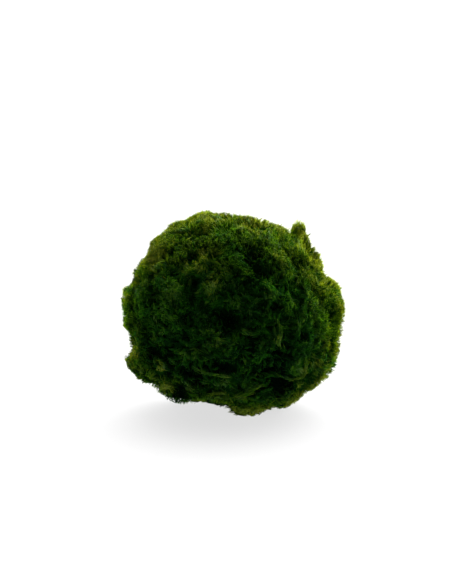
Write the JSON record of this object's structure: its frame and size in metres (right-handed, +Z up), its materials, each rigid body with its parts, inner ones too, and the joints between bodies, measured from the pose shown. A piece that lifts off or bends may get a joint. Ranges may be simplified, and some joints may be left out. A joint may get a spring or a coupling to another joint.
{
  "type": "marimo moss ball",
  "caption": "Rounded ball of matted green algae threads, a little wider than high, with clumps, hollows and a stray tuft, resting on a small flattened spot.",
  "frame": {"origin": "on the surface that the ball rests on, under the middle of its bounding box", "axes": "+Z up, +X to the right as the picture shows the ball, -Y towards the viewer"},
  "size_m": [0.0446, 0.043, 0.04],
  "materials": {
    "moss": "matte, fibrous, dark green with yellow-green tips"
  },
  "bodies": {
    "root": {"moss_ball": "moss"}
  },
  "joints": []
}
